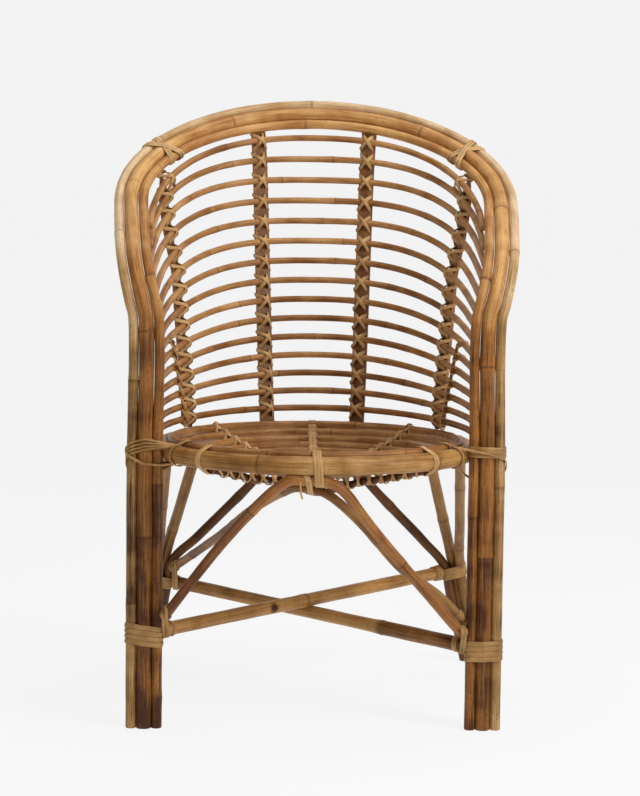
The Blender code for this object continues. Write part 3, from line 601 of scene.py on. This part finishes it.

# %% [markdown]
# The other canes take their skin and the usual distance of their joints from a table. Where the photo shows
# a joint, a thicker end or a stain clearly, its place along the cane is given. The seat rail's left part is
# darkened with painted shade.

# %% Seat, back and underframe canes
FINISH_OF = (
    ("seat_rail", rail_cane, "cane", 0.26), ("seat_ring", ring_cane, "cane", 0.21),
    ("seat_stick", dark_cane, "dark_cane", 0.16), ("back_ring", ring_cane, "cane", 0.19),
    ("side_stay", red_cane, "red_cane", 0.12), ("stretcher", pale_cane, "cane", 0.24),
    ("front_arch", red_cane, "red_cane", 0.22), ("cross_arch", brown_cane, "dark_cane", 0.19),
    ("rear_arch", dark_cane, "dark_cane", 0.22), ("rear_leg", brown_cane, "cane", 0.20))
PHOTO_JOINTS = {
    "front_arch": [0.221, 0.508], "stretcher_upper": [0.265], "stretcher_lower": [0.413],
    "cross_arch": [0.11, 0.306, 0.50, 0.69], "rear_arch": [0.12, 0.35, 0.51, 0.66, 0.86]}
CANE_STEPS = {"front_arch": (0.221, 1.06), "stretcher_lower": (0.413, 1.08)}
NAIL_RUN = 0.204            # along the upper stretcher
upper, lower, arch = [lines[node][0] for node in ("stretcher_upper", "stretcher_lower", "front_arch")]
nail_spot = upper[0] + (upper[-1] - upper[0]).normalized() * NAIL_RUN
nail_spot.y -= lines["stretcher_upper"][1]
dark_run = (lower[-1] - lower[0]).length - PHOTO_JOINTS["stretcher_lower"][0]
CANE_SHADES = {
    "stretcher_upper": [(nail_spot, 0.009, 0.006, 1.0)],
    "stretcher_lower": [(lower[-1], dark_run, 0.003, 0.30), (lower[0], 0.20, 0.16, 0.18)],
    "front_arch": [(arch[0], 0.24, 0.10, 0.20)],
    "cross_arch": [(lines["cross_arch"][0][0], 0.30, 0.10, 0.12)],
    # painted shade: the rail's left part is darkened as if the light from the right left it in shade
    "seat_rail": [(Vector((-0.13, -0.22, 0.37)), 0.19, 0.14, 0.24)]}
for node, (path, radius) in lines.items():
    for start, finish, slot, internode in FINISH_OF:
        if node.startswith(start):
            closed = node.startswith(("seat_rail", "seat_ring"))
            cane = make_cane(node + "_cane", path, radius, finish, internode, closed, PHOTO_JOINTS.get(node),
                             CANE_STEPS.get(node), CANE_SHADES.get(node, ()))
            settle_piece(cane, slot, node)
print("canes:", len(lines))

# %% [markdown]
# ## Strips of split cane
# A binding is one long flat strip. It starts as a narrow grid, and each row of the grid is laid on a point of
# the strip's way, square to the way and facing outwards. A Solidify modifier gives it its thickness. The
# middle of the strip stands a little higher than its edges, as split skin does.


# %% Lay a strip
STRIP_THICK = 0.0009
STRIP_CROWN = 0.9           # how much higher the middle stands, of the thickness


def smooth(points, steps):
    """A curve through the points, with the given number of steps between two of them."""
    ends = [points[0] * 2 - points[1]] + points + [points[-1] * 2 - points[-2]]
    curve = []
    for a, b, c, d in zip(ends, ends[1:], ends[2:], ends[3:]):
        for step in range(steps):
            t = step / steps
            curve.append(0.5 * (b * 2 + (c - a) * t + (a * 2 - b * 5 + c * 4 - d) * t ** 2
                                + (b * 3 - a - c * 3 + d) * t ** 3))
    return curve + [points[-1]]


def lay_strip(name, way, outward, width, finish):
    """A flat strip along a way, its face turned outward at each point. Its width may change on the way."""
    bpy.ops.object.select_all(action="DESELECT")
    bpy.ops.mesh.primitive_grid_add(x_subdivisions=len(way) - 1, y_subdivisions=4, size=2)
    strip = bpy.context.object
    strip.name = name
    mesh = strip.data
    run = [0.0]
    for here, there in zip(way, way[1:]):
        run.append(run[-1] + (there - here).length)
    place_of = [round((vert.co.x + 1) / 2 * (len(way) - 1)) for vert in mesh.vertices]
    widths = width if isinstance(width, list) else [width] * len(way)
    for corner, loop in zip(mesh.uv_layers[0].data, mesh.loops):
        place = place_of[loop.vertex_index]
        corner.uv = (run[place], corner.uv[1] * widths[place])
    for vert, place in zip(mesh.vertices, place_of):
        along = way[min(place + 1, len(way) - 1)] - way[max(place - 1, 0)]
        out = outward[place]
        beside = along.cross(out).normalized()
        across = vert.co.y
        crown_rise = (1 - across ** 2) * STRIP_THICK * STRIP_CROWN
        vert.co = way[place] + beside * (across * widths[place] / 2) + out * crown_rise
    wall = strip.modifiers.new("wall", "SOLIDIFY")
    wall.thickness = STRIP_THICK
    wall.offset = 0.0
    bpy.ops.object.modifier_apply(modifier="wall")
    edit_all(lambda: bpy.ops.mesh.normals_make_consistent(inside=False))
    bpy.ops.object.shade_smooth_by_angle(angle=math.radians(50))
    mesh.uv_layers[0].name = "UVMap"
    mesh.materials.append(finish)
    return strip


# %% [markdown]
# ## Cross bindings
# Wherever a ring crosses an upright, one strip makes a cross over the ring, passing behind the upright twice,
# and then climbs behind the upright to the next ring. The points of one cross are given in the crossing's own
# directions: across the upright, up along it, and outwards from the ring to the upright.


# %% Bind rings to uprights
def cross_way(crossings, half, rise, front):
    """Way of the strip over many crossings, and where it faces. A crossing ends with its back's depth."""
    way, outward = [], []
    for spot, across, up, out, back in crossings:
        edge = back - (back + front) * 0.25
        flat = front * 0.75
        over = front + STRIP_THICK
        turns = (
            (-1.0, -1.0, edge, (-1, 0, 0)), (-0.75, -0.76, flat, (-0.4, 0, -1)),
            (-0.3, -0.3, -front, (-0.2, 0, -1)), (0.3, 0.3, -front, (0.2, 0, -1)),
            (0.75, 0.76, flat, (0.4, 0, -1)), (1.0, 1.0, edge, (1, 0, 0)),
            (0.55, 1.05, back, (0.2, 0, 1)), (-0.55, 1.05, back, (-0.2, 0, 1)),
            (-1.0, 1.0, edge, (-1, 0, 0)), (-0.75, 0.76, flat, (-0.4, 0, -1)),
            (-0.3, 0.3, -over, (-0.2, 0, -1)), (0.3, -0.3, -over, (0.2, 0, -1)),
            (0.75, -0.76, flat, (0.4, 0, -1)), (1.0, -1.0, edge, (1, 0, 0)), (0.55, -0.6, back, (0.2, 0, 1)))
        for side, lift, depth, facing in turns:
            way.append(spot + across * (side * half) + up * (lift * rise) + out * depth)
            outward.append((across * facing[0] + up * facing[1] + out * facing[2]).normalized())
    return smooth(way, 4), [direction.normalized() for direction in smooth(outward, 4)]


def splat_rows(node):
    """Middles of the splat's rows, from the rail up. Each row has four corners."""
    corners = {tuple(round(part, 5) for part in vert.co) for vert in frame["nodes"][node].data.vertices}
    corners = [Vector(corner) for corner in sorted(corners, key=lambda corner: corner[2])]
    return [sum(corners[start:start + 4], Vector()) / 4 for start in range(0, len(corners), 4)]


RING_NAMES = [f"back_ring_{number:02d}" for number in range(15, 0, -1)]
SPLAT_HALF = 0.0102
SPLAT_RISE = 0.0120
SPLAT_BACK = 0.0064         # from the ring's outside
BINDING_WIDTH = 0.0046
for upright in ("side_splat_left", "side_splat_right", "back_splat_left", "back_splat_right"):
    rows = splat_rows(upright)
    crossings = []
    for ring in RING_NAMES:
        path, radius = lines[ring]
        row = min(rows, key=lambda middle: (nearest(path, middle)[0] - middle).length)
        spot, around = nearest(path, nearest(rows, nearest(path, row)[0])[0])
        out = nearest(rows, spot)[0] - spot
        out = (out - around * out.dot(around)).normalized()
        up = out.cross(around) * (1 if out.cross(around).z > 0 else -1)
        crossings.append((spot, around, up, out, radius + SPLAT_BACK))
    way, outward = cross_way(crossings, SPLAT_HALF, SPLAT_RISE, radius + 0.0006)
    binding = lay_strip(upright.replace("splat", "cross_binding"), way, outward, BINDING_WIDTH, straw_strip)
    settle_piece(binding, "cane_strip", upright.replace("splat", "binding"))
    print(binding.name, len(crossings), "crosses")

# %% [markdown]
# ## Bindings of the seat and the stays
# The seat's diagonal sticks lie under its rings, so the same cross binding is laid over each ring from above.
# The two thin stays next to the legs are tied to the lowest back rings with finer strip.

# %% Bind the diagonal sticks and the stays
STICK_STRIP = 0.0034           # a strip is pulled narrower below the stick than on top
STAY_STRIP = 0.0020
SEAT_RINGS = [f"seat_ring_{number}" for number in range(1, 9)]


def crossing(ring, upright, near):
    """Where an upright crosses a ring, with the directions across the upright, along it and out to it."""
    spot, around = nearest(lines[ring][0], near)
    spot, around = nearest(lines[ring][0], nearest(lines[upright][0], spot)[0])
    point = nearest(lines[upright][0], spot)[0]
    out = point - spot
    out = (out - around * out.dot(around)).normalized()
    return spot, around, out.cross(around), out, (point - spot).length + lines[upright][1] + 0.0006


def stick_crossings(stick):
    """Crossings of a stick with the seat's rings, from back to front. There the rim is bound to the rail."""
    front, back = sorted((lines[stick][0][0], lines[stick][0][-1]), key=lambda spot: spot.y)
    crossings = [crossing(ring, stick, back) for ring in SEAT_RINGS]
    return crossings + [crossing(ring, stick, front) for ring in SEAT_RINGS[:0:-1]]


ring_radius = lines["seat_ring_2"][1]
stick_radius = lines["seat_stick_middle"][1]
for stick in ("seat_stick_left", "seat_stick_right"):
    crossings = stick_crossings(stick)
    way, outward = cross_way(crossings, stick_radius * 1.8, 0.0096, ring_radius + 0.0006)
    widths = [STICK_STRIP + 0.0012 * facing.z for facing in outward]
    binding = lay_strip(stick + "_cross_binding", way, outward, widths, straw_strip)
    settle_piece(binding, "cane_strip")
    print(binding.name, len(crossings), "crosses")
for side in ("left", "right"):
    path, stay_radius = lines[f"side_stay_{side}"]
    crossings = [crossing(ring, f"side_stay_{side}", path[0]) for ring in RING_NAMES[:7]]
    radius = lines[RING_NAMES[0]][1]
    way, outward = cross_way(crossings, stay_radius * 1.4, 0.0050, radius + 0.0005)
    settle_piece(lay_strip(f"side_stay_{side}_binding", way, outward, STAY_STRIP, straw_strip), "cane_strip")

# %% [markdown]
# ## Lashings
# Where canes meet, strips are wound tightly round them. A taut strip touches only what sticks out furthest,
# so in each direction from the middle of a joint the strip is laid on the cane that reaches furthest that way.
# It then runs straight from cane to cane by itself. A flat plane cuts a leaning cane in an ellipse, and the
# code finds that ellipse's furthest point.

# %% Wind a strip round canes
TURN_STEPS = 48
CLEAR = 0.0007              # of a strip's middle from the cane
BEHIND = Vector((0, 1, 0))


def pole_at(node, spot):
    """Point, direction and radius of a cane next to a spot."""
    path, radius = lines[node]
    point, along = nearest(path, spot)
    return point, along, radius * (leg_growth(point.z) if node.startswith("hoop") else 1.0)


def from_end(node, last, run):
    """The same, run metres from the first or the last end of a cane."""
    path, radius = lines[node]
    path = path[::-1] if last else path
    for here, there in zip(path, path[1:]):
        if run <= (there - here).length:
            break
        run -= (there - here).length
    way = (there - here).normalized()
    return here + way * run, way, radius


def wind(poles, centre, normal, turns, pitch, back=BEHIND, layer=0):
    """Way of a strip wound round poles, in planes square to normal and from the back, and where it faces."""
    normal = normal.normalized()
    first = (back - normal * back.dot(normal)).normalized()
    second = normal.cross(first)
    way, outward = [], []
    for step in range(turns * TURN_STEPS + 1):
        angle = math.tau * step / TURN_STEPS
        look = first * math.cos(angle) + second * math.sin(angle)
        rise = (step / TURN_STEPS - turns / 2) * pitch
        touched = []
        for spot, along, radius in poles:
            slant = along.dot(normal)
            middle = spot + along * (((centre - spot).dot(normal) + rise) / slant)
            short = along.cross(normal).normalized() if abs(slant) < 0.999 else first
            long = normal.cross(short) / abs(slant)
            reach = math.hypot(short.dot(look), long.dot(look))
            touched.append(middle + (short * short.dot(look) + long * long.dot(look)) * (radius / reach))
        furthest = max(touched, key=lambda point: point.dot(look))
        way.append(furthest + look * (CLEAR + layer * STRIP_THICK))
        outward.append(look)
    return way, outward


def lash(name, passes, finish, *nodes):
    """Lays every pass as a strip and joins them to one lashing, which stands for the solids' windings."""
    strips = [lay_strip(f"{name}_{number}", *turns, width, finish)
              for number, (width, turns) in enumerate(passes)]
    bpy.ops.object.select_all(action="DESELECT")
    for strip in strips:
        strip.select_set(True)
    bpy.context.view_layer.objects.active = strips[0]
    if len(strips) > 1:
        bpy.ops.object.join()
    strips[0].name = name
    settle_piece(strips[0], "cane_strip", *nodes)
    print(name, len(passes), "passes")


def middle_of(node):
    low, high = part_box(node)
    return (low + high) / 2


# %% [markdown]
# The middle stick is bound in another way: two strands run over all rings side by side, and between two rings
# a tie draws them down to the stick. One strand also runs along the crosses of each diagonal stick.

# %% Bind the middle stick
STRAND = 0.0046
TIE = 0.0032
UPWARD = Vector((0, 0, 1))


def over_rings(crossings, above, between):
    """Points over each ring and between two rings, both as heights over the rings' middles."""
    spots = []
    for here, after in zip(crossings, crossings[1:]):
        spots.append(here[0] - here[3] * above)
        spots.append(here[0].lerp(after[0], 0.5) - here[3] * between)
    return spots + [crossings[-1][0] - crossings[-1][3] * above]


crossings = stick_crossings("seat_stick_middle")
back_end = crossings[0][0] * 2 - crossings[1][0]
spots = over_rings(crossings, ring_radius + 0.0007, 0.0012)
tops = [back_end.lerp(crossings[0][0], 0.6) + crossings[0][3] * ring_radius] + spots
passes = []
for side in (-0.55, 0.55):
    way = smooth([spot + crossings[0][1] * (side * STRAND) for spot in tops], 5)
    passes.append((STRAND, (way, [UPWARD] * len(way))))
for spot, here in zip(spots[1::2], crossings):
    stick = pole_at("seat_stick_middle", spot)
    edges = [(spot + here[1] * (side * STRAND), stick[1], 0.0006) for side in (-0.9, 0.9)]
    passes.append((TIE, wind([stick] + edges, spot, stick[1], 1, 0.0012, -UPWARD, 1)))
lash("seat_stick_middle_strands", passes, straw_strip)
for stick in ("seat_stick_left", "seat_stick_right"):
    over_crosses = ring_radius + 0.0006 + 2 * STRIP_THICK
    way = smooth(over_rings(stick_crossings(stick), over_crosses, ring_radius * 0.7), 5)
    strand = lay_strip(f"{stick}_strand", way, [UPWARD] * len(way), STRAND, straw_strip)
    settle_piece(strand, "cane_strip")

# %% [markdown]
# The lashings on the top hoop cross over the three poles. Those low on the legs are bands of four turns, with
# a loop that gathers the ends of the stretcher and the arches, and a turn or more round each of those ends.

# %% Lashings of hoops and legs
HOOPS = ("hoop_outer", "hoop_middle", "hoop_inner")
for side in ("left", "right"):
    node = f"lashing_hoop_{side}"
    poles = [pole_at(hoop, middle_of(node)) for hoop in HOOPS]
    along = poles[1][1]
    spread = (poles[0][0] - poles[2][0]).normalized()
    back = along.cross(spread)
    back = back if back.y > 0 else -back
    passes = [(0.0048, wind(poles, poles[1][0], along + spread * lean, 2, 0.0050, back, layer))
              for layer, lean in enumerate((-0.5, 0.5))]
    lash(f"hoop_lashing_{side}", passes, straw_strip, node)

END_STRIP = 0.0040
CORNERS = (
    ("front", "left", HOOPS, 0.17, (("front_arch", False, 0.006, 1), ("stretcher_upper", False, 0.012, 1))),
    ("front", "right", HOOPS, 0.0, (("front_arch", True, 0.008, 2), ("stretcher_lower", True, 0.010, 2),
                                    ("cross_arch", True, 0.008, 2))),
    ("rear", "left", ("rear_arch", "rear_leg_left_a", "rear_leg_left_c"), 0.0,
     (("stretcher_lower", False, 0.006, 1), ("cross_arch", False, 0.008, 2))),
    ("rear", "right", ("rear_arch", "rear_leg_right_a", "rear_leg_right_c"), -0.1,
     (("stretcher_upper", True, 0.010, 3),)))
for place, side, nodes, lean, ends in CORNERS:
    node = f"lashing_{place}_leg_{side}"
    width = 0.0064 if place == "front" else 0.0046
    low = 0.0046 if place == "front" else 0.0
    centre = middle_of(node) - Vector((0, 0, low))
    poles = [pole_at(name, centre) for name in nodes]
    passes = [(width, wind(poles, centre, poles[1][1] + Vector((lean, 0, 0)), 4, width * 1.10))]
    for name, last, run, turns in ends:
        tip = from_end(name, last, run)
        passes.append((END_STRIP, wind([tip], tip[0], tip[1], turns, END_STRIP * 1.05)))
    tips = [from_end(name, last, 0.004) for name, last, run, turns in ends[:2]]
    gathered = sum((tip[0] for tip in tips), Vector()) / len(tips)
    passes.append((END_STRIP, wind(tips, gathered, Vector((1, 0, 0)), 2, END_STRIP, layer=1)))
    lash(f"{place}_leg_lashing_{side}", passes, worn_strip, node)

# %% [markdown]
# At the left end of the rail a fan of strips ties it to the legs. At the right end a level band goes round
# the legs, and one slanting turn takes in the rail. A strap next to each leg holds the rim to the rail.

# %% Lashings of the seat rail
RIM = "seat_ring_1"
FAN_STRIP, BAND_STRIP, STRAP = 0.0044, 0.0050, 0.0066
BAND_RISE = 0.008           # above the rail's middle
TILT = 1.7                  # the strips climb from the back of the legs to their front
for side, inward, drop in (("left", 1, 0.014), ("right", -1, 0.021)):
    node = f"lashing_rail_{side}"
    rail, *poles = [pole_at(name, middle_of(node)) for name in ("seat_rail",) + HOOPS]
    centre = poles[2][0].lerp(rail[0], 0.5)
    low = centre - Vector((0, 0, drop))
    if side == "left":
        passes = [(FAN_STRIP, wind(poles + [rail], low, Vector((0.04, TILT, 1)), 4, 0.0024)),
                  (FAN_STRIP, wind(poles + [rail], centre, Vector((0.3, -1, 1)), 1, 0.0035, layer=1))]
    else:
        row = poles[0][0] - poles[2][0]
        level = Vector((-TILT * row.y / row.x, TILT, 1))
        band = Vector((centre.x, centre.y, rail[0].z + BAND_RISE))
        passes = [(BAND_STRIP, wind(poles, band, Vector((0.06, 0, 1)), 3, 0.0048)),
                  (BAND_STRIP, wind(poles + [rail], low, level, 1, 0.0048, layer=1))]
    beside = poles[2][0] + Vector((0.020 * inward, -0.020, 0))
    strap, edge = pole_at("seat_rail", beside), pole_at(RIM, beside)
    passes.append((STRAP, wind([strap, edge], strap[0], strap[1], 1, 0.004, layer=1)))
    lash(f"rail_lashing_{side}", passes, worn_strip, node)
for side, turns, width in (("left", 1, 0.0088), ("right", 2, 0.0036)):
    node = f"lashing_stick_{side}"
    rail, rim = pole_at("seat_rail", middle_of(node)), pole_at(RIM, middle_of(node))
    stick = min((lines[f"seat_stick_{side}"][0][end] for end in (0, -1)), key=lambda spot: spot.y)
    poles = [rail, rim, (stick, rail[1], stick_radius)]
    lash(f"rail_band_{side}", [(width, wind(poles, rail[0], rail[1], turns, 0.0044))], straw_strip, node)

# %% [markdown]
# In the middle of the front, three turns hold the rail, the rim and the front arch together, and two more
# bind the diagonal arch to the front one. Two thin tails of the strip hang down.

# %% Lashing at the front of the seat
FRONT_STRIP = 0.0036
TAIL = 0.0016
centre = middle_of("lashing_rail_front")
rail, rim, arch, brace = [pole_at(name, centre) for name in ("seat_rail", RIM, "front_arch", "cross_arch")]
aside = Vector((-0.012, 0, 0))
passes = [(FRONT_STRIP, wind([rail, rim, arch], rail[0], Vector((1, 0, 0.06)), 3, 0.0038)),
          (FRONT_STRIP, wind([arch, brace], arch[0] + aside, Vector((1, 0, 0.2)), 2, 0.0034))]
for side, drop in ((-0.022, 0.016), (-0.010, 0.008)):
    start = arch[0] + Vector((side, -arch[2] - 0.001, 0))
    way = smooth([start, start + Vector((0.001, -0.002, -drop * 0.5 - arch[2])),
                  start + Vector((0.003, 0.001, -drop - arch[2]))], 5)
    passes.append((TAIL, (way, [Vector((0, -1, 0))] * len(way))))
lash("rail_lashing_front", passes, straw_strip, "lashing_rail_front")

# %% [markdown]
# ## The nail
# One nail holds the two stretchers close to where they cross. Its head starts as a sphere. It is pressed
# flat, and the half that would be in the cane is cut away.

# %% Nail
NAIL_R = 0.0031
NAIL_FLAT = 0.42
NAIL_SUNK = 0.0004
bpy.ops.object.select_all(action="DESELECT")
bpy.ops.mesh.primitive_uv_sphere_add(segments=24, ring_count=14, radius=NAIL_R)
nail = bpy.context.object
nail.name = "stretcher_nail"
nail.scale.z = NAIL_FLAT
bpy.ops.object.transform_apply(location=False, rotation=False, scale=True)
edit_all(lambda: bpy.ops.mesh.bisect(plane_co=(0, 0, -NAIL_SUNK), plane_no=(0, 0, 1), clear_inner=True,
                                     use_fill=True))
nail.rotation_euler.x = math.radians(90)
nail.location = nail_spot
bpy.ops.object.transform_apply(location=True, rotation=True, scale=False)
bpy.ops.object.shade_smooth_by_angle(angle=math.radians(40))
nail.data.materials.append(rusty_iron)
settle_piece(nail, "dark_cane")
print("nail at", [round(part, 4) for part in nail_spot])

# %% [markdown]
# ## Stage
# The chair stands on white paper that curves up behind it, as in a photo studio, so that no edge shows
# between floor and wall. The paper glows a little by itself: the photo's ground is evenly white, with hardly
# a shadow.

# %% Stage
FLOOR_RUN = 7.0             # behind the middle of the chair, where the paper starts to rise
SWEEP = 3.0
HALF_PAPER = 12.0           # half the paper's width and length
PAPER_FRONT = 8.0
bpy.ops.object.select_all(action="DESELECT")
bpy.ops.mesh.primitive_grid_add(x_subdivisions=2, y_subdivisions=60, size=2)
floor = bpy.context.object
floor.name = "studio_floor"
for vert in floor.data.vertices:
    run = (vert.co.y + 1) * HALF_PAPER - PAPER_FRONT
    turn = min(max((run - FLOOR_RUN) / SWEEP, 0.0), math.pi / 2)
    rest = max(run - FLOOR_RUN - SWEEP * math.pi / 2, 0.0)
    vert.co = (vert.co.x * HALF_PAPER, min(run, FLOOR_RUN) + SWEEP * math.sin(turn),
               SWEEP * (1 - math.cos(turn)) + rest)
bpy.ops.object.shade_smooth()
paper = bpy.data.materials.new("matt_white_paper")
paper.use_nodes = True
sheet = paper.node_tree.nodes["Principled BSDF"]
sheet.inputs["Base Color"].default_value = linear("#5A5A5A")
sheet.inputs["Roughness"].default_value = 0.9
sheet.inputs["Specular IOR Level"].default_value = 0.0
sheet.inputs["Emission Color"].default_value = linear("#FFFFFF")
sheet.inputs["Emission Strength"].default_value = 0.85
floor.data.materials.append(paper)
print("paper", round(floor.dimensions.x, 1), "m wide")

# %% [markdown]
# ## Light
# One large lamp above and to the right gives the shine along the canes, another from above lights the seat
# and the hoop, and a weak one from the left keeps the shaded sides readable.

# %% Light
world = bpy.data.worlds.new("studio")
bpy.context.scene.world = world
world.use_nodes = True
world.node_tree.nodes["Background"].inputs["Color"].default_value = linear("#FFFFFF")
world.node_tree.nodes["Background"].inputs["Strength"].default_value = 0.25
LAMPS = (
    ("key", (1.9, -1.7, 2.0), 58, 1.3), ("top", (0.2, 0.1, 2.8), 27, 1.5),
    ("fill", (-2.0, -2.2, 1.1), 6, 1.6))
AIM = Vector((0, 0, 0.45))
for name, spot, power, size in LAMPS:
    bpy.ops.object.light_add(type="AREA", location=spot)
    lamp = bpy.context.object
    lamp.name = name
    lamp.data.energy = power
    lamp.data.size = size
    lamp.rotation_euler = (AIM - Vector(spot)).to_track_quat("-Z", "Y").to_euler()
bpy.context.scene.view_settings.view_transform = "Standard"
print("lamps:", len(LAMPS))
